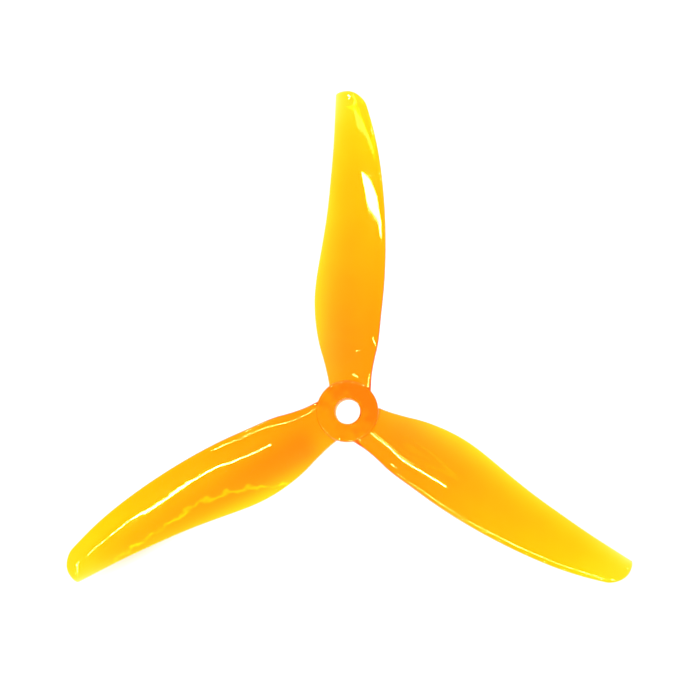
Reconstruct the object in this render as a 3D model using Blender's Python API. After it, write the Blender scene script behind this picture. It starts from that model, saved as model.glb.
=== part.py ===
"""A three-blade multirotor propeller, 5.1 inches across, for a 5 mm motor shaft.

The real propeller is one clear plastic moulding. It is built here as its hub and its three
blades, each a solid of its own, with a thin joining gap where a blade root meets the hub.
The origin is the centre of the hub's base face. +Z is the axis that the propeller spins on,
and +Y runs along the first blade. Seen from above the propeller turns clockwise.
"""
import math

import bmesh
import bpy
import numpy as np
from mathutils import Matrix

# Driving dimensions, in metres and degrees.
TIP_RADIUS = 0.06477
BLADE_COUNT = 3
FIRST_BLADE_ANGLE = 90.0
HUB_RADIUS = 0.0062
HUB_HEIGHT = 0.0070
BORE_RADIUS = 0.00255
RIM_ROUND = 0.0004
BORE_CHAMFER = 0.00015
HUB_SEGMENTS = 60
ROUND_STEPS = 3
JOIN_GAP = 0.0003
SHARP_ANGLE = 40.0

# Blade angle: a constant pitch outboard that flattens off towards the root.
PITCH = 0.128
PITCH_FADE_RADIUS = 0.0333
ROOT_FLATTENING = 0.16
ROOT_FLATTENING_LENGTH = 0.0100

# Blade stations from root to tip: radius, leading-edge and trailing-edge offsets from the
# radial line through the blade (as seen from above), height of mid-chord, greatest thickness,
# and the trailing edge's thickness as a share of it.
STATIONS = (
    (0.0062, 0.00470, 0.00385, 0.00355, 0.00280, 0.80),
    (0.0080, 0.00486, 0.00425, 0.00368, 0.00274, 0.76),
    (0.0120, 0.00589, 0.00550, 0.00413, 0.00262, 0.62),
    (0.0180, 0.00673, 0.00668, 0.00452, 0.00240, 0.44),
    (0.0234, 0.00730, 0.00687, 0.00470, 0.00222, 0.37),
    (0.0313, 0.00772, 0.00578, 0.00480, 0.00194, 0.36),
    (0.0398, 0.00756, 0.00435, 0.00475, 0.00168, 0.40),
    (0.0477, 0.00688, 0.00349, 0.00465, 0.00142, 0.46),
    (0.0542, 0.00583, 0.00294, 0.00455, 0.00116, 0.47),
    (0.0596, 0.00447, 0.00266, 0.00445, 0.00092, 0.42),
    (0.0652, 0.00275, 0.00240, 0.00435, 0.00070, 0.30),
)
LEADING, TRAILING, HEIGHT, THICKNESS, TAIL_SHARE = 1, 2, 3, 4, 5

# Section shape along the chord as seen from above, from the nose at 0 to the tail at 1. The
# nose is a blunt rounded edge that bends down a little.
CAMBER = 0.05
THICKEST_AT = 0.38
NOSE_POWER = 7.0
NOSE_LENGTH = 0.22
NOSE_DROOP = 0.035
TAIL_POWER = 2.6
CHORD_STEPS = 11

# Tip shape: each edge turns in on a quarter ellipse towards the farthest point.
TIP_OFFSET = 0.0002
LEADING_TURN_RADIUS = 0.0616
TRAILING_TURN_RADIUS = 0.0639
THINNING_RADIUS = 0.0638
TIP_THINNESS = 0.45
TIP_OVERRUN = 0.00004

# Where the skin has a section. Near the hub the sections are wrapped around its wall, and
# they straighten out by the given radius.
STRAIGHT_RADIUS = 0.0110
ROOT_RINGS = (HUB_RADIUS + JOIN_GAP, 0.0071, 0.0079, 0.0090)
FIRST_SPAN_RADIUS = 0.0105
LAST_SPAN_RADIUS = 0.0612
SPAN_STEPS = 20
TIP_RINGS = (0.0622, 0.0631, 0.0638, 0.0643, 0.0646, TIP_RADIUS)

COLOUR = (1.0, 0.40, 0.01, 1.0)


def clear_scene():
    for thing in list(bpy.data.objects):
        bpy.data.objects.remove(thing)


def plastic(name):
    """Clear orange polycarbonate with a polished surface."""
    material = bpy.data.materials.new(name)
    material.use_nodes = True
    shader = material.node_tree.nodes["Principled BSDF"]
    shader.inputs["Base Color"].default_value = COLOUR
    shader.inputs["Roughness"].default_value = 0.08
    shader.inputs["Metallic"].default_value = 0.0
    shader.inputs["Transmission Weight"].default_value = 0.8
    shader.inputs["IOR"].default_value = 1.585
    material.diffuse_color = COLOUR
    return material


def station_value(radius, column):
    """Natural cubic spline through one column of the stations."""
    radii = np.array([row[0] for row in STATIONS])
    values = np.array([row[column] for row in STATIONS])
    gaps = np.diff(radii)
    matrix = np.eye(len(radii))
    target = np.zeros(len(radii))
    for i in range(1, len(radii) - 1):
        matrix[i, i - 1 : i + 2] = gaps[i - 1], 2 * (gaps[i - 1] + gaps[i]), gaps[i]
        rise = (values[i + 1] - values[i]) / gaps[i] - (values[i] - values[i - 1]) / gaps[i - 1]
        target[i] = 6 * rise
    bend = np.linalg.solve(matrix, target)
    i = int(np.clip(np.searchsorted(radii, radius) - 1, 0, len(gaps) - 1))
    a = (radii[i + 1] - radius) / gaps[i]
    b = 1 - a
    curve = (a ** 3 - a) * bend[i] + (b ** 3 - b) * bend[i + 1]
    return float(a * values[i] + b * values[i + 1] + curve * gaps[i] ** 2 / 6)


def quarter_ellipse(radius, turn_radius):
    """1 up to the turn radius, then down to nearly 0 at the tip."""
    reach = max(0.0, (radius - turn_radius) / (TIP_RADIUS + TIP_OVERRUN - turn_radius))
    return math.sqrt(1 - reach * reach)


def edges(radius):
    """Leading-edge and trailing-edge positions across the radial line."""
    lead = -station_value(radius, LEADING)
    trail = station_value(radius, TRAILING)
    lead = TIP_OFFSET + (lead - TIP_OFFSET) * quarter_ellipse(radius, LEADING_TURN_RADIUS)
    trail = TIP_OFFSET + (trail - TIP_OFFSET) * quarter_ellipse(radius, TRAILING_TURN_RADIUS)
    return lead, trail


def blade_angle(radius):
    """Angle of the section to the disc, which eases off at the root to stay within the hub."""
    into_root = max(0.0, 1 - (radius - HUB_RADIUS) / ROOT_FLATTENING_LENGTH)
    pitch_angle = math.atan(PITCH / (2 * math.pi * math.hypot(radius, PITCH_FADE_RADIUS)))
    return pitch_angle * (1 - ROOT_FLATTENING * into_root ** 2)


def thickness_share(x, tail_share):
    """Thickness of the section at chord position x, as a share of the greatest."""
    if x < THICKEST_AT:
        return (1 - (1 - x / THICKEST_AT) ** NOSE_POWER) ** (1 / NOSE_POWER)
    aft = (x - THICKEST_AT) / (1 - THICKEST_AT)
    return 1 - (1 - tail_share) * aft ** TAIL_POWER


def mean_rise(x):
    """Height of the mean line over the straight chord, as a share of the chord."""
    into_nose = max(0.0, 1 - x / NOSE_LENGTH)
    return CAMBER * 4 * x * (1 - x) - NOSE_DROOP * into_nose ** 2


def section(radius):
    """Upper and lower points (across, up) of one blade section, each from nose to tail."""
    lead, trail = edges(radius)
    chord = trail - lead
    angle = blade_angle(radius)
    thinning = TIP_THINNESS + (1 - TIP_THINNESS) * quarter_ellipse(radius, THINNING_RADIUS)
    half = station_value(radius, THICKNESS) * thinning / 2 / math.cos(angle)
    tail_share = station_value(radius, TAIL_SHARE)
    height = station_value(radius, HEIGHT)
    upper, lower = [], []
    for step in range(CHORD_STEPS + 1):
        x = (1 - math.cos(math.pi * step / CHORD_STEPS)) / 2
        mean = height + chord * ((0.5 - x) * math.tan(angle) + mean_rise(x))
        share = half * thickness_share(x, tail_share)
        upper.append((lead + chord * x, mean + share))
        lower.append((lead + chord * x, mean - share))
    return upper, lower


def ring(radius):
    """One section placed on the blade, wrapped around the hub's axis near the root."""
    straight = min(1.0, (radius - HUB_RADIUS) / (STRAIGHT_RADIUS - HUB_RADIUS))
    placed = []
    for points in section(radius):
        wrapped = [math.sqrt(radius ** 2 - across ** 2) for across, up in points]
        along = [straight * radius + (1 - straight) * wrap for wrap in wrapped]
        placed.append([(u, across, up) for u, (across, up) in zip(along, points)])
    return placed


def blade_mesh():
    """A closed skin over the sections. Local +X runs along the blade."""
    mesh = bmesh.new()
    spans = np.linspace(FIRST_SPAN_RADIUS, LAST_SPAN_RADIUS, SPAN_STEPS)
    loops = []
    for radius in ROOT_RINGS + tuple(spans) + TIP_RINGS:
        upper, lower = ring(radius)
        top = [mesh.verts.new(point) for point in upper]
        under = [top[0]] + [mesh.verts.new(point) for point in lower[1:]]
        loops.append((top, under))
    for (top, under), (next_top, next_under) in zip(loops, loops[1:]):
        for i in range(CHORD_STEPS):
            mesh.faces.new((top[i], next_top[i], next_top[i + 1], top[i + 1]))
            mesh.faces.new((under[i], under[i + 1], next_under[i + 1], next_under[i]))
        mesh.faces.new((top[-1], next_top[-1], next_under[-1], under[-1]))
    for top, under in (loops[0], loops[-1]):
        mesh.faces.new((top[0], top[1], under[1]))
        for i in range(1, CHORD_STEPS):
            mesh.faces.new((top[i], top[i + 1], under[i + 1], under[i]))
    bmesh.ops.recalc_face_normals(mesh, faces=mesh.faces)
    data = bpy.data.meshes.new("blade")
    mesh.to_mesh(data)
    mesh.free()
    data.shade_smooth()
    data.set_sharp_from_angle(angle=math.radians(SHARP_ANGLE))
    return data


def hub_profile():
    """Half section of the hub (radius, height), anticlockwise from the bore's lower mouth."""
    corner = [math.pi / 2 * step / ROUND_STEPS for step in range(ROUND_STEPS + 1)]
    inset = HUB_RADIUS - RIM_ROUND
    points = [(BORE_RADIUS + BORE_CHAMFER, 0.0)]
    points += [(inset + RIM_ROUND * math.sin(a), RIM_ROUND * (1 - math.cos(a))) for a in corner]
    top = HUB_HEIGHT - RIM_ROUND
    points += [(inset + RIM_ROUND * math.cos(a), top + RIM_ROUND * math.sin(a)) for a in corner]
    points += [
        (BORE_RADIUS + BORE_CHAMFER, HUB_HEIGHT),
        (BORE_RADIUS, HUB_HEIGHT - BORE_CHAMFER),
        (BORE_RADIUS, BORE_CHAMFER),
    ]
    return points


def hub_mesh():
    """The hub's half section turned around the spin axis."""
    mesh = bmesh.new()
    corners = [mesh.verts.new((radius, 0.0, height)) for radius, height in hub_profile()]
    outline = [mesh.edges.new(pair) for pair in zip(corners, corners[1:] + corners[:1])]
    bmesh.ops.spin(
        mesh,
        geom=corners + outline,
        cent=(0, 0, 0),
        axis=(0, 0, 1),
        angle=2 * math.pi,
        steps=HUB_SEGMENTS,
        use_merge=True,
    )
    bmesh.ops.remove_doubles(mesh, verts=mesh.verts, dist=1e-6)
    bmesh.ops.recalc_face_normals(mesh, faces=mesh.faces)
    data = bpy.data.meshes.new("hub")
    mesh.to_mesh(data)
    mesh.free()
    data.shade_smooth()
    data.set_sharp_from_angle(angle=math.radians(SHARP_ANGLE))
    return data


def place(name, data, parent, angle=0.0):
    """Put one sub-part in the scene, turned about the spin axis."""
    thing = bpy.data.objects.new(name, data)
    bpy.context.scene.collection.objects.link(thing)
    thing.parent = parent
    thing.matrix_local = Matrix.Rotation(math.radians(angle), 4, "Z")
    return thing


def main():
    clear_scene()
    spin_axis = bpy.data.objects.new("spin_axis", None)
    bpy.context.scene.collection.objects.link(spin_axis)
    hub = hub_mesh()
    hub.materials.append(plastic("hub_plastic"))
    place("hub", hub, spin_axis)
    blade = blade_mesh()
    blade.materials.append(plastic("blade_plastic"))
    for number in range(BLADE_COUNT):
        turn = FIRST_BLADE_ANGLE + number * 360.0 / BLADE_COUNT
        place(f"blade_{number + 1}", blade, spin_axis, turn)


main()
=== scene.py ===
"""The looks of a clear orange three-blade propeller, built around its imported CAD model.

The hub and the blades are remade as fine polished surfaces. Sizes come from the frame, and the
blade's design table is the one that the CAD model uses, in metres.
"""

import math

import bmesh
import bpy
import numpy as np
from mathutils import Matrix, Vector


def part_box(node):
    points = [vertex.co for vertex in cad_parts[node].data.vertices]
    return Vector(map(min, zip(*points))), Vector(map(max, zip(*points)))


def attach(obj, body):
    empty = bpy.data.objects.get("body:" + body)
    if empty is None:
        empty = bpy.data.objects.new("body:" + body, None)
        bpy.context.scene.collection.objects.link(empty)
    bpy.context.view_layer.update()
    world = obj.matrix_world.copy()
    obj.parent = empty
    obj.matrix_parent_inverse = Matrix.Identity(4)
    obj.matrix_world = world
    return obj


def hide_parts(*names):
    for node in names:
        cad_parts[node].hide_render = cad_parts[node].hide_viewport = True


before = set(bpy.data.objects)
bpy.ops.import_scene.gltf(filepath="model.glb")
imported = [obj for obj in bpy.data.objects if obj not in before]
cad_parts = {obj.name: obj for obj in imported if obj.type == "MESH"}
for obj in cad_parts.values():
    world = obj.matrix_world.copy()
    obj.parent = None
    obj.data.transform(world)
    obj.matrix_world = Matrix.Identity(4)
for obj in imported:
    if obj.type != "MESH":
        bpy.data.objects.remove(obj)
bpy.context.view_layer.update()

# Sizes taken from the frame.
HUB_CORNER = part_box("hub")[1]
HUB_RADIUS = HUB_CORNER.x
HUB_HEIGHT = HUB_CORNER.z
TIP_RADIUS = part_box("blade_1")[1].y
BLADE_NODES = ("blade_1", "blade_2", "blade_3")
FIRST_BLADE_ANGLE = 90.0

# Hub details.
BORE_RADIUS = 0.00255
RIM_ROUND = 0.0004
BORE_CHAMFER = 0.00015
HUB_SEGMENTS = 256
ROUND_STEPS = 12
EDGE_BAND = 0.00005
WELD_DISTANCE = 1e-7

# Blade angle: a constant pitch outboard that flattens off towards the root.
PITCH = 0.128
PITCH_FADE_RADIUS = 0.0333
ROOT_FLATTENING = 0.16
ROOT_FLATTENING_LENGTH = 0.0100

# Blade stations from root to tip: radius, leading-edge and trailing-edge offsets from the
# radial line through the blade (as seen from above), height of mid-chord, greatest thickness,
# and the trailing edge's thickness as a share of it.
STATIONS = (
    (0.0062, 0.00470, 0.00385, 0.00355, 0.00280, 0.80),
    (0.0080, 0.00486, 0.00425, 0.00368, 0.00274, 0.76),
    (0.0120, 0.00589, 0.00550, 0.00413, 0.00262, 0.62),
    (0.0180, 0.00673, 0.00668, 0.00452, 0.00240, 0.44),
    (0.0234, 0.00730, 0.00687, 0.00470, 0.00222, 0.37),
    (0.0313, 0.00772, 0.00578, 0.00480, 0.00194, 0.36),
    (0.0398, 0.00756, 0.00435, 0.00475, 0.00168, 0.40),
    (0.0477, 0.00688, 0.00349, 0.00465, 0.00142, 0.46),
    (0.0542, 0.00583, 0.00294, 0.00455, 0.00116, 0.47),
    (0.0596, 0.00447, 0.00266, 0.00445, 0.00092, 0.42),
    (0.0652, 0.00275, 0.00240, 0.00435, 0.00070, 0.30),
)
LEADING, TRAILING, HEIGHT, THICKNESS, TAIL_SHARE = 1, 2, 3, 4, 5

# Section shape along the chord, from the nose at 0 to the trailing edge at 1.
CAMBER = 0.05
THICKEST_AT = 0.38
NOSE_POWER = 7.0
NOSE_LENGTH = 0.22
NOSE_DROOP = 0.035
TAIL_POWER = 2.6
TAIL_ROUND = 0.0002
TAIL_ROUND_LIMIT = 0.3
CHORD_STEPS = 48
TAIL_STEPS = 8

# Tip shape: each edge turns in on a quarter ellipse towards the farthest point.
TIP_OFFSET = 0.0002
LEADING_TURN_RADIUS = 0.0616
TRAILING_TURN_RADIUS = 0.0639
THINNING_RADIUS = 0.0638
TIP_THINNESS = 0.45
END_ROUND = 0.0003
TIP_OVERRUN = 0.00001

# Where the skin has a section, and the angle in degrees from which its edges stay sharp.
STRAIGHT_RADIUS = 0.0110
ROOT_SINK = 0.00012
SPAN_STEPS = 130
TIP_STEPS = 36
SHARP_ANGLE = 60.0

# Camera: its place and target in metres, its lens and sensor in millimetres.
CAMERA_PLACE = (0.02855, -0.02832, 0.65114)
CAMERA_TARGET = (0.00040, 0.01244, 0.00350)
CAMERA_LENS = 166.1503
SENSOR_WIDTH = 36.0
CAMERA_NEAREST = 0.01

# Narrow softboxes: name, the blade that they are placed by, the line that they follow (along
# that blade, across it towards the trailing edge, up), width, and brightness on the scale of
# PAPER_WHITE below.
STRIP_LAMPS = (
    ("wedge", 0, ((0.0697, 0.0650, 0.100), (0.0662, 0.0050, 0.100)), 0.0050, 200.0),
    ("wedge_tail", 0, ((0.0929, 0.0150, 0.200), (0.0924, -0.0244, 0.200)), 0.0050, 200.0),
    ("soft_band", 0, ((0.0805, 0.0600, 0.100), (0.0822, -0.0046, 0.100)), 0.0030, 10.0),
    (
        "left_middle",
        1,
        (
            (0.0855, 0.0762, 0.150),
            (0.0775, 0.0790, 0.150),
            (0.0715, 0.1030, 0.150),
            (0.0560, 0.1270, 0.150),
            (0.0130, 0.1618, 0.150),
        ),
        0.0010,
        400.0,
    ),
    ("left_edge", 1, ((0.0800, -0.0250, 0.256), (-0.0642, 0.1238, 0.209)), 0.0070, 130.0),
    (
        "right_root",
        2,
        ((-0.0690, 0.1920, 0.150), (0.0002, 0.1631, 0.150), (0.0392, 0.1400, 0.150)),
        0.0014,
        450.0,
    ),
    ("right_second", 2, ((-0.0690, 0.2020, 0.150), (0.0002, 0.1721, 0.150)), 0.0030, 15.0),
    ("top_root", 0, ((-0.0530, 0.3579, 0.250), (-0.0522, 0.3059, 0.250)), 0.0020, 60.0),
)

# Light is thrown to and fro many times inside clear plastic before it leaves an edge.
LIGHT_BOUNCES = 32

# The lit table, and the sky. From the horizon, at 0, the sky is as bright as the table up to one
# height, and then fades until another to the white that it has overhead, at 1.
FLOOR_RADIUS = 4.0
FLOOR_SEGMENTS = 64
FLOOR_DROP = 0.0002
PAPER_WHITE = 1.20
SKY_WHITE = 1.0
SKY_FADE_START = 0.2
SKY_FADE_END = 0.5

# Painted orange shadow on the table under the blades, for the light that they pass on: its colour,
# how strong it is under each blade, and where it starts, is full, is still full and ends, across and
# along.
PAINTED_SHADOW_COLOUR = (1.0, 0.70, 0.45, 1.0)
PAINTED_SHADOW_STRENGTHS = (0.30, 1.0, 0.35)
PAINTED_SHADOW_ACROSS = (-0.0050, 0.0005, 0.0020, 0.0060)
PAINTED_SHADOW_ALONG = (0.0070, 0.0120, 0.0500, 0.0680)

# Painted caustic: a wavy, patchy bright streak painted on the table under one blade, for the light
# that its edge focuses there, seen through the blade. Its middle line (along, across) and, in
# metres, its half width, waviness and soft ends.
STREAK_BLADE = 1
STREAK_LINE = (
    (0.0160, 0.0064),
    (0.0260, 0.0020),
    (0.0350, -0.0003),
    (0.0460, 0.0008),
    (0.0580, 0.0015),
)
STREAK_HALF_WIDTH = 0.0006
STREAK_WAVE = 0.0026
STREAK_WAVE_SCALE = 420.0
STREAK_WAVE_DETAIL = 1.0
STREAK_PATCH_SCALE = 300.0
STREAK_PATCH_DETAIL = 2.0
STREAK_PATCH_LIMITS = (0.36, 0.52)
STREAK_FAINTEST = 0.2
STREAK_ALONG = (0.0160, 0.0200, 0.0540, 0.0580)
STREAK_STRENGTH = 0.9

# Clear polycarbonate: how it bends light, the colour of its gloss, and how much green and blue
# light each metre of it takes away. The hub is paler for its depth than the blades.
PLASTIC_IOR = 1.585
GLOSS_TINT = (1.0, 0.6, 0.1, 1.0)
HUB_GREEN_LOSS = 185.0
HUB_BLUE_LOSS = 3500.0
BLADE_GREEN_LOSS = 430.0
BLADE_BLUE_LOSS = 5500.0

# Slow variation of the colour: how fine its clouds are, the noise levels between which it runs,
# and the share of green and blue that gets through where it is deepest. On the hub a painted
# shade also slopes across the part, deepest towards +X and +Y, so the hub's deepest colour is
# partly painted shade and partly its own clouds.
TINT_DETAIL = 2.0
TINT_LIMITS = (0.30, 0.70)
HUB_TINT_SCALE = 450.0
HUB_SHADE_SLOPE = (-35.0, -35.0, 0.0)
HUB_DEEPEST_TINT = (0.66, 0.60)
BLADE_TINT_SCALE = 160.0
BLADE_SHADE_SLOPE = (0.0, 0.0, 0.0)
BLADE_DEEPEST_TINT = (0.96, 0.80)

# Surface detail: slow waves from the mould, fine scuffs (noise level and roughness, from the
# most polished to the most scuffed), and a dull bore.
WAVE_SCALE = 140.0
WAVE_DETAIL = 1.0
WAVE_HEIGHT = 0.000004
SCUFF_SCALE = 2500.0
SCUFF_DETAIL = 4.0
POLISHED = (0.35, 0.01)
SCUFFED = (0.70, 0.05)
BORE_ROUGHNESS = 0.5
BORE_ROUGH_RADIUS = 0.0028


def spline_bend(column):
    """Second derivatives of the natural cubic spline through one column of the stations."""
    radii = np.array([row[0] for row in STATIONS])
    values = np.array([row[column] for row in STATIONS])
    gaps = np.diff(radii)
    matrix = np.eye(len(radii))
    target = np.zeros(len(radii))
    for i in range(1, len(radii) - 1):
        matrix[i, i - 1 : i + 2] = gaps[i - 1], 2 * (gaps[i - 1] + gaps[i]), gaps[i]
        rise = (values[i + 1] - values[i]) / gaps[i] - (values[i] - values[i - 1]) / gaps[i - 1]
        target[i] = 6 * rise
    return radii, values, gaps, np.linalg.solve(matrix, target)


SPLINES = {column: spline_bend(column) for column in range(1, len(STATIONS[0]))}


def station_value(radius, column):
    """One column of the stations at any radius, on its spline."""
    radii, values, gaps, bend = SPLINES[column]
    i = int(np.clip(np.searchsorted(radii, radius) - 1, 0, len(gaps) - 1))
    a = (radii[i + 1] - radius) / gaps[i]
    b = 1 - a
    curve = (a ** 3 - a) * bend[i] + (b ** 3 - b) * bend[i + 1]
    return float(a * values[i] + b * values[i + 1] + curve * gaps[i] ** 2 / 6)


def quarter_ellipse(radius, turn_radius):
    """1 up to the turn radius, then down to nearly 0 at the tip."""
    reach = max(0.0, (radius - turn_radius) / (TIP_RADIUS + TIP_OVERRUN - turn_radius))
    return math.sqrt(1 - reach * reach)


def edges(radius):
    """Leading-edge and trailing-edge positions across the radial line."""
    lead = -station_value(radius, LEADING)
    trail = station_value(radius, TRAILING)
    lead = TIP_OFFSET + (lead - TIP_OFFSET) * quarter_ellipse(radius, LEADING_TURN_RADIUS)
    trail = TIP_OFFSET + (trail - TIP_OFFSET) * quarter_ellipse(radius, TRAILING_TURN_RADIUS)
    return lead, trail


def blade_angle(radius):
    """Angle of the section to the disc, which eases off at the root to stay within the hub."""
    into_root = max(0.0, 1 - (radius - HUB_RADIUS) / ROOT_FLATTENING_LENGTH)
    pitch_angle = math.atan(PITCH / (2 * math.pi * math.hypot(radius, PITCH_FADE_RADIUS)))
    return pitch_angle * (1 - ROOT_FLATTENING * into_root ** 2)


def thickness_share(x, tail_share, tail_start):
    """Thickness at chord position x as a share of the greatest, round at both ends."""
    if x < THICKEST_AT:
        return (1 - (1 - x / THICKEST_AT) ** NOSE_POWER) ** (1 / NOSE_POWER)
    aft = (x - THICKEST_AT) / (1 - THICKEST_AT)
    into_round = max(0.0, (x - tail_start) / (1 - tail_start))
    return (1 - (1 - tail_share) * aft ** TAIL_POWER) * math.sqrt(max(0.0, 1 - into_round ** 2))


def mean_rise(x):
    """Height of the mean line over the straight chord, as a share of the chord."""
    into_nose = max(0.0, 1 - x / NOSE_LENGTH)
    return CAMBER * 4 * x * (1 - x) - NOSE_DROOP * into_nose ** 2


def chord_places(tail_start):
    """Chord positions from nose to tail, close together at the nose and in the tail's round."""
    places = [
        tail_start * (1 - math.cos(math.pi * step / CHORD_STEPS)) / 2
        for step in range(CHORD_STEPS + 1)
    ]
    turn = [math.pi / 2 * step / TAIL_STEPS for step in range(1, TAIL_STEPS + 1)]
    return places + [tail_start + (1 - tail_start) * math.sin(angle) for angle in turn]


def section(radius):
    """One blade section as a closed loop of (across, up), nose first, over the top."""
    lead, trail = edges(radius)
    chord = trail - lead
    angle = blade_angle(radius)
    thinning = TIP_THINNESS + (1 - TIP_THINNESS) * quarter_ellipse(radius, THINNING_RADIUS)
    thinning *= quarter_ellipse(radius, TIP_RADIUS - END_ROUND)
    half = station_value(radius, THICKNESS) * thinning / 2 / math.cos(angle)
    tail_share = station_value(radius, TAIL_SHARE)
    tail_start = 1 - min(TAIL_ROUND / chord, TAIL_ROUND_LIMIT)
    height = station_value(radius, HEIGHT)
    places = chord_places(tail_start)
    across = [lead + chord * x for x in places]
    mean = [height + chord * ((0.5 - x) * math.tan(angle) + mean_rise(x)) for x in places]
    share = [half * thickness_share(x, tail_share, tail_start) for x in places]
    upper = [(v, m + t) for v, m, t in zip(across, mean, share)]
    lower = [(v, m - t) for v, m, t in zip(across, mean, share)]
    return np.array(upper + lower[-2:0:-1])


def ring(radius):
    """One section placed on the blade, wrapped around the hub's axis near the root."""
    loop = section(radius)
    straight = min(1.0, max(0.0, (radius - HUB_RADIUS) / (STRAIGHT_RADIUS - HUB_RADIUS)))
    wrapped = np.sqrt(radius ** 2 - loop[:, 0] ** 2)
    along = straight * radius + (1 - straight) * wrapped
    return np.stack([along, loop[:, 0], loop[:, 1]], axis=1)


def ring_radii():
    """Radii of the sections: from just inside the hub along the span, then round the tip."""
    span = list(np.linspace(HUB_RADIUS - ROOT_SINK, LEADING_TURN_RADIUS, SPAN_STEPS + 1))
    tip = [
        LEADING_TURN_RADIUS
        + (TIP_RADIUS - LEADING_TURN_RADIUS) * math.sin(math.pi / 2 * step / TIP_STEPS)
        for step in range(1, TIP_STEPS + 1)
    ]
    return span + tip


def finish_mesh(mesh, name):
    """Turn a built skin into mesh data that is shaded smooth, except at sharp edges."""
    bmesh.ops.recalc_face_normals(mesh, faces=mesh.faces)
    data = bpy.data.meshes.new(name)
    mesh.to_mesh(data)
    mesh.free()
    data.shade_smooth()
    data.set_sharp_from_angle(angle=math.radians(SHARP_ANGLE))
    return data


def blade_mesh():
    """A closed fine skin over the sections. Local +X runs along the blade."""
    mesh = bmesh.new()
    loops = [[mesh.verts.new(point) for point in ring(radius)] for radius in ring_radii()]
    count = len(loops[0])
    for near, far in zip(loops, loops[1:]):
        for i in range(count):
            j = (i + 1) % count
            mesh.faces.new((near[i], far[i], far[j], near[j]))
    half = count // 2
    for loop in (loops[0], loops[-1]):
        mesh.faces.new((loop[0], loop[1], loop[-1]))
        for i in range(1, half - 1):
            mesh.faces.new((loop[i], loop[i + 1], loop[-i - 1], loop[-i]))
        mesh.faces.new((loop[half - 1], loop[half], loop[half + 1]))
    return finish_mesh(mesh, "blade_skin")


def hub_profile():
    """Half section of the hub (radius, height), anticlockwise from the bore's lower mouth.

    Each flat face ends in a narrow band of its own, so that only the corners look rounded.
    """
    corner = [math.pi / 2 * step / ROUND_STEPS for step in range(ROUND_STEPS + 1)]
    inset = HUB_RADIUS - RIM_ROUND
    mouth = [
        (BORE_RADIUS + BORE_CHAMFER * (1 - math.sin(a)), BORE_CHAMFER * (1 - math.cos(a)))
        for a in corner
    ]
    rim = [(inset + RIM_ROUND * math.sin(a), RIM_ROUND * (1 - math.cos(a))) for a in corner]
    half = [(BORE_RADIUS, BORE_CHAMFER + EDGE_BAND)]
    half += list(reversed(mouth))
    half += [(BORE_RADIUS + BORE_CHAMFER + EDGE_BAND, 0.0), (inset - EDGE_BAND, 0.0)]
    half += rim
    half += [(HUB_RADIUS, RIM_ROUND + EDGE_BAND)]
    return half + [(radius, HUB_HEIGHT - height) for radius, height in reversed(half)]


def hub_mesh():
    """The hub's half section turned around the spin axis."""
    mesh = bmesh.new()
    corners = [mesh.verts.new((radius, 0.0, height)) for radius, height in hub_profile()]
    outline = [mesh.edges.new(pair) for pair in zip(corners, corners[1:] + corners[:1])]
    bmesh.ops.spin(
        mesh,
        geom=corners + outline,
        cent=(0, 0, 0),
        axis=(0, 0, 1),
        angle=2 * math.pi,
        steps=HUB_SEGMENTS,
        use_merge=True,
    )
    bmesh.ops.remove_doubles(mesh, verts=mesh.verts, dist=WELD_DISTANCE)
    return finish_mesh(mesh, "hub_skin")


def add_noise(nodes, links, position, scale, detail):
    """A smooth random value between 0 and 1 that depends on the place only."""
    noise = nodes.new("ShaderNodeTexNoise")
    noise.inputs["Scale"].default_value = scale
    noise.inputs["Detail"].default_value = detail
    links.new(position, noise.inputs["Vector"])
    return noise.outputs["Fac"]


def add_range(nodes, links, value, low, high, shape="SMOOTHSTEP"):
    """Map a value onto another. Each end is a pair: the value there, and what it becomes."""
    span = nodes.new("ShaderNodeMapRange")
    span.interpolation_type = shape
    span.inputs["From Min"].default_value = low[0]
    span.inputs["From Max"].default_value = high[0]
    span.inputs["To Min"].default_value = low[1]
    span.inputs["To Max"].default_value = high[1]
    links.new(value, span.inputs["Value"])
    return span.outputs["Result"]


def add_math(nodes, links, operation, first, second):
    """Combine two values, each an output of a node."""
    result = nodes.new("ShaderNodeMath")
    result.operation = operation
    links.new(first, result.inputs[0])
    links.new(second, result.inputs[1])
    return result.outputs["Value"]


def add_band(nodes, links, value, limits, strength):
    """A soft band: nothing before the first limit, full between the middle two, nothing after."""
    start, full, still_full, end = limits
    rise = add_range(nodes, links, value, (start, 0.0), (full, 1.0))
    fall = add_range(nodes, links, value, (still_full, strength), (end, 0.0))
    return add_math(nodes, links, "MULTIPLY", rise, fall)


def add_mix(nodes, links, factor, start, end):
    """A colour between two others."""
    mix = nodes.new("ShaderNodeMix")
    mix.data_type = "RGBA"
    mix.inputs["A"].default_value = start
    mix.inputs["B"].default_value = end
    links.new(factor, mix.inputs["Factor"])
    return mix.outputs["Result"]


def add_dot(nodes, links, position, direction):
    """How far a place lies in one direction."""
    product = nodes.new("ShaderNodeVectorMath")
    product.operation = "DOT_PRODUCT"
    product.inputs[1].default_value = direction
    links.new(position, product.inputs[0])
    return product.outputs["Value"]


def add_distance_from_axis(nodes, links, position):
    """How far a place lies from the spin axis."""
    flat = nodes.new("ShaderNodeVectorMath")
    flat.operation = "MULTIPLY"
    flat.inputs[1].default_value = (1.0, 1.0, 0.0)
    links.new(position, flat.inputs[0])
    length = nodes.new("ShaderNodeVectorMath")
    length.operation = "LENGTH"
    links.new(flat.outputs["Vector"], length.inputs[0])
    return length.outputs["Value"]


def blade_turn(number):
    """Direction of one blade about the spin axis, in degrees."""
    return FIRST_BLADE_ANGLE + number * 360.0 / len(BLADE_NODES)


def add_blade_place(nodes, links, position, number):
    """How far a place lies along one blade, and across it towards the trailing edge."""
    turn = math.radians(blade_turn(number))
    along = add_dot(nodes, links, position, (math.cos(turn), math.sin(turn), 0.0))
    across = add_dot(nodes, links, position, (-math.sin(turn), math.cos(turn), 0.0))
    return along, across


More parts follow.
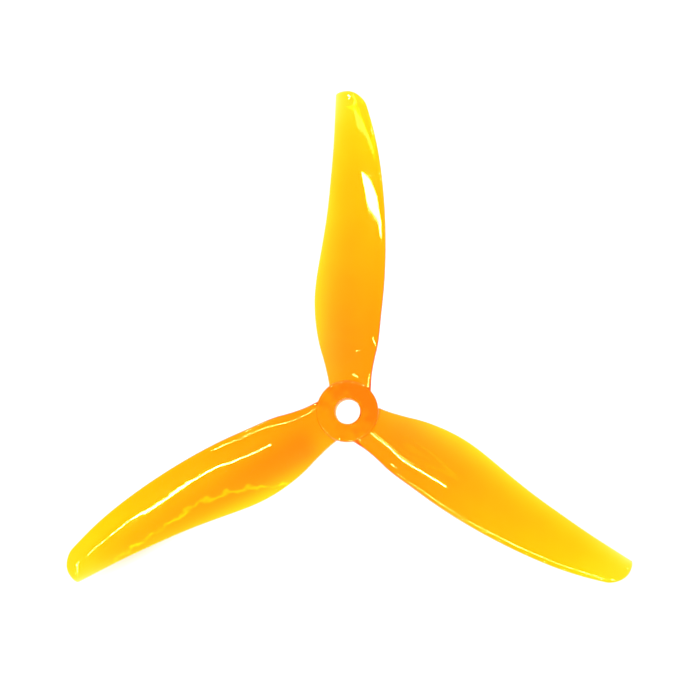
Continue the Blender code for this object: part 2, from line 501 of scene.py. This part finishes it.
def clear_plastic(name, green_loss, blue_loss):
    """Polished clear plastic that loses this much green and blue in each metre of depth."""
    material = bpy.data.materials.new(name)
    material.use_nodes = True
    nodes = material.node_tree.nodes
    links = material.node_tree.links
    shader = nodes["Principled BSDF"]
    shader.inputs["Transmission Weight"].default_value = 1.0
    shader.inputs["IOR"].default_value = PLASTIC_IOR
    shader.inputs["Specular Tint"].default_value = GLOSS_TINT
    volume = nodes.new("ShaderNodeVolumeAbsorption")
    volume.inputs["Color"].default_value = (1.0, 1 - green_loss / blue_loss, 0.0, 1.0)
    volume.inputs["Density"].default_value = blue_loss
    links.new(volume.outputs["Volume"], nodes["Material Output"].inputs["Volume"])
    position = nodes.new("ShaderNodeTexCoord").outputs["Object"]
    waves = nodes.new("ShaderNodeBump")
    waves.inputs["Distance"].default_value = WAVE_HEIGHT
    height = add_noise(nodes, links, position, WAVE_SCALE, WAVE_DETAIL)
    links.new(height, waves.inputs["Height"])
    links.new(waves.outputs["Normal"], shader.inputs["Normal"])
    scuffs = add_noise(nodes, links, position, SCUFF_SCALE, SCUFF_DETAIL)
    scuffs = add_range(nodes, links, scuffs, POLISHED, SCUFFED)
    bore = add_distance_from_axis(nodes, links, position)
    bore = add_range(nodes, links, bore, (BORE_RADIUS, BORE_ROUGHNESS), (BORE_ROUGH_RADIUS, 0.0))
    links.new(add_math(nodes, links, "ADD", scuffs, bore), shader.inputs["Roughness"])
    return material, position


def tint(material, position, scale, shade_slope, deepest):
    """Vary the plastic's colour slowly in clouds, and paint shade that slopes in one direction
    across the part.
    """
    nodes = material.node_tree.nodes
    links = material.node_tree.links
    cloud = add_noise(nodes, links, position, scale, TINT_DETAIL)
    # The slope paints shade, deepest against its direction; the clouds are the plastic's own uneven
    # colour.
    level = add_math(nodes, links, "ADD", cloud, add_dot(nodes, links, position, shade_slope))
    lowest, highest = TINT_LIMITS
    share = add_range(nodes, links, level, (lowest, 0.0), (highest, 1.0))
    mix = add_mix(nodes, links, share, (1.0, *deepest, 1.0), (1.0, 1.0, 1.0, 1.0))
    links.new(mix, nodes["Principled BSDF"].inputs["Base Color"])


def place(name, data, material, node, angle=0.0):
    """Make one visible piece, turned about the spin axis, that stands for a CAD node."""
    piece = bpy.data.objects.new(name, data)
    bpy.context.scene.collection.objects.link(piece)
    data.materials.append(material)
    data.transform(Matrix.Rotation(math.radians(angle), 4, "Z"))
    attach(piece, "root")
    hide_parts(node)


def build_propeller():
    """The hub, and three blades from one skin."""
    hub_plastic, position = clear_plastic("hub_plastic", HUB_GREEN_LOSS, HUB_BLUE_LOSS)
    tint(hub_plastic, position, HUB_TINT_SCALE, HUB_SHADE_SLOPE, HUB_DEEPEST_TINT)
    place("hub_moulding", hub_mesh(), hub_plastic, "hub")
    blade_plastic, position = clear_plastic("blade_plastic", BLADE_GREEN_LOSS, BLADE_BLUE_LOSS)
    tint(blade_plastic, position, BLADE_TINT_SCALE, BLADE_SHADE_SLOPE, BLADE_DEEPEST_TINT)
    for number, node in enumerate(BLADE_NODES):
        place(f"{node}_moulding", blade_mesh(), blade_plastic, node, blade_turn(number))


def add_painted_caustic(nodes, links, position, strength_input):
    """Paint a caustic on the lit table: brighter along the wavy streak under one blade."""
    along, off_line = add_blade_place(nodes, links, position, STREAK_BLADE)
    for start, end in zip(STREAK_LINE, STREAK_LINE[1:]):
        rise = add_range(nodes, links, along, (start[0], 0.0), (end[0], end[1] - start[1]), "LINEAR")
        off_line = add_math(nodes, links, "SUBTRACT", off_line, rise)
    # The noise, centred on 0, moves the line to and fro.
    waves = add_noise(nodes, links, position, STREAK_WAVE_SCALE, STREAK_WAVE_DETAIL)
    shift = nodes.new("ShaderNodeMath")
    shift.operation = "MULTIPLY_ADD"
    shift.inputs[1].default_value = STREAK_WAVE
    shift.inputs[2].default_value = -STREAK_LINE[0][1] - STREAK_WAVE / 2
    links.new(waves, shift.inputs[0])
    off_line = add_math(nodes, links, "ADD", off_line, shift.outputs["Value"])
    limits = (-STREAK_HALF_WIDTH, 0.0, 0.0, STREAK_HALF_WIDTH)
    painted_caustic = add_band(nodes, links, off_line, limits, 1.0)
    ends = add_band(nodes, links, along, STREAK_ALONG, STREAK_STRENGTH)
    patches = add_noise(nodes, links, position, STREAK_PATCH_SCALE, STREAK_PATCH_DETAIL)
    faint, full = STREAK_PATCH_LIMITS
    patches = add_range(nodes, links, patches, (faint, STREAK_FAINTEST), (full, 1.0))
    painted_caustic = add_math(nodes, links, "MULTIPLY", painted_caustic, ends)
    painted_caustic = add_math(nodes, links, "MULTIPLY", painted_caustic, patches)
    # The painted caustic is added to the table's own even brightness.
    total = nodes.new("ShaderNodeMath")
    total.operation = "ADD"
    total.inputs[1].default_value = PAPER_WHITE
    links.new(painted_caustic, total.inputs[0])
    links.new(total.outputs["Value"], strength_input)


def add_painted_shadow(nodes, links, position, colour_input):
    """Paint an orange shadow on the lit table in a soft patch under each blade."""
    patches = []
    for number, strength in enumerate(PAINTED_SHADOW_STRENGTHS):
        along, across = add_blade_place(nodes, links, position, number)
        band = add_band(nodes, links, along, PAINTED_SHADOW_ALONG, strength)
        side_band = add_band(nodes, links, across, PAINTED_SHADOW_ACROSS, 1.0)
        patches.append(add_math(nodes, links, "MULTIPLY", band, side_band))
    painted_shadow = patches[0]
    for patch in patches[1:]:
        painted_shadow = add_math(nodes, links, "MAXIMUM", painted_shadow, patch)
    mix = add_mix(nodes, links, painted_shadow, (1.0, 1.0, 1.0, 1.0), PAINTED_SHADOW_COLOUR)
    links.new(mix, colour_input)


def lit_white_painted_light():
    """White that shines by itself and reflects nothing, with a painted orange shadow and a painted
    caustic for the light that the blades pass on.
    """
    material = bpy.data.materials.new("lit_white_painted_light")
    material.use_nodes = True
    nodes = material.node_tree.nodes
    links = material.node_tree.links
    shader = nodes["Principled BSDF"]
    shader.inputs["Base Color"].default_value = (0.0, 0.0, 0.0, 1.0)
    shader.inputs["Specular IOR Level"].default_value = 0.0
    position = nodes.new("ShaderNodeTexCoord").outputs["Object"]
    add_painted_shadow(nodes, links, position, shader.inputs["Emission Color"])
    add_painted_caustic(nodes, links, position, shader.inputs["Emission Strength"])
    return material


def build_floor():
    """A white lit table just below the propeller."""
    mesh = bmesh.new()
    bmesh.ops.create_circle(mesh, cap_ends=True, radius=FLOOR_RADIUS, segments=FLOOR_SEGMENTS)
    data = bpy.data.meshes.new("floor")
    mesh.to_mesh(data)
    mesh.free()
    data.materials.append(lit_white_painted_light())
    floor = bpy.data.objects.new("floor", data)
    floor.location.z = -FLOOR_DROP
    bpy.context.scene.collection.objects.link(floor)


def build_sky():
    """White all round: as bright as the table at the horizon, a little less overhead."""
    world = bpy.data.worlds.new("studio")
    bpy.context.scene.world = world
    world.use_nodes = True
    nodes = world.node_tree.nodes
    links = world.node_tree.links
    direction = nodes.new("ShaderNodeTexCoord").outputs["Generated"]
    height = add_dot(nodes, links, direction, (0.0, 0.0, 1.0))
    at_horizon = (SKY_FADE_START, PAPER_WHITE)
    overhead = (SKY_FADE_END, SKY_WHITE)
    background = nodes["Background"]
    background.inputs["Color"].default_value = (1.0, 1.0, 1.0, 1.0)
    fade = add_range(nodes, links, height, at_horizon, overhead)
    links.new(fade, background.inputs["Strength"])


def strip_lamp(name, start, end, width, radiance):
    """A narrow softbox between two points, facing the propeller and out of the camera's sight."""
    along = (end - start).normalized()
    middle = (start + end) / 2
    back = (middle - along * middle.dot(along)).normalized()
    length = (end - start).length
    data = bpy.data.lights.new(name, "AREA")
    data.shape = "RECTANGLE"
    data.size = width
    data.size_y = length
    data.energy = radiance * math.pi * width * length
    lamp = bpy.data.objects.new(name, data)
    axes = Matrix((along.cross(back), along, back)).transposed().to_4x4()
    lamp.matrix_world = Matrix.Translation(middle) @ axes
    lamp.visible_camera = False
    bpy.context.scene.collection.objects.link(lamp)


def build_lights():
    """Line up the softboxes, one lamp for each straight stretch of a line."""
    for name, number, line, width, radiance in STRIP_LAMPS:
        turn = Matrix.Rotation(math.radians(blade_turn(number)), 3, "Z")
        corners = [turn @ Vector(point) for point in line]
        for part, (start, end) in enumerate(zip(corners, corners[1:])):
            strip_lamp(f"{name}_{part}", start, end, width, radiance)


def build_camera():
    """A long lens, looking down on the propeller from nearly straight above."""
    data = bpy.data.cameras.new("camera")
    data.lens = CAMERA_LENS
    data.sensor_width = SENSOR_WIDTH
    data.clip_start = CAMERA_NEAREST
    camera = bpy.data.objects.new("camera", data)
    back = (Vector(CAMERA_PLACE) - Vector(CAMERA_TARGET)).normalized()
    right = Vector((0, 1, 0)).cross(back).normalized()
    axes = Matrix((right, back.cross(right), back)).transposed().to_4x4()
    camera.matrix_world = Matrix.Translation(CAMERA_PLACE) @ axes
    bpy.context.scene.collection.objects.link(camera)
    bpy.context.scene.camera = camera


build_camera()
build_propeller()
build_floor()
build_sky()
build_lights()
bpy.context.scene.view_settings.view_transform = "Standard"
bpy.context.scene.cycles.max_bounces = LIGHT_BOUNCES
bpy.context.scene.cycles.glossy_bounces = LIGHT_BOUNCES
bpy.context.scene.cycles.transmission_bounces = LIGHT_BOUNCES
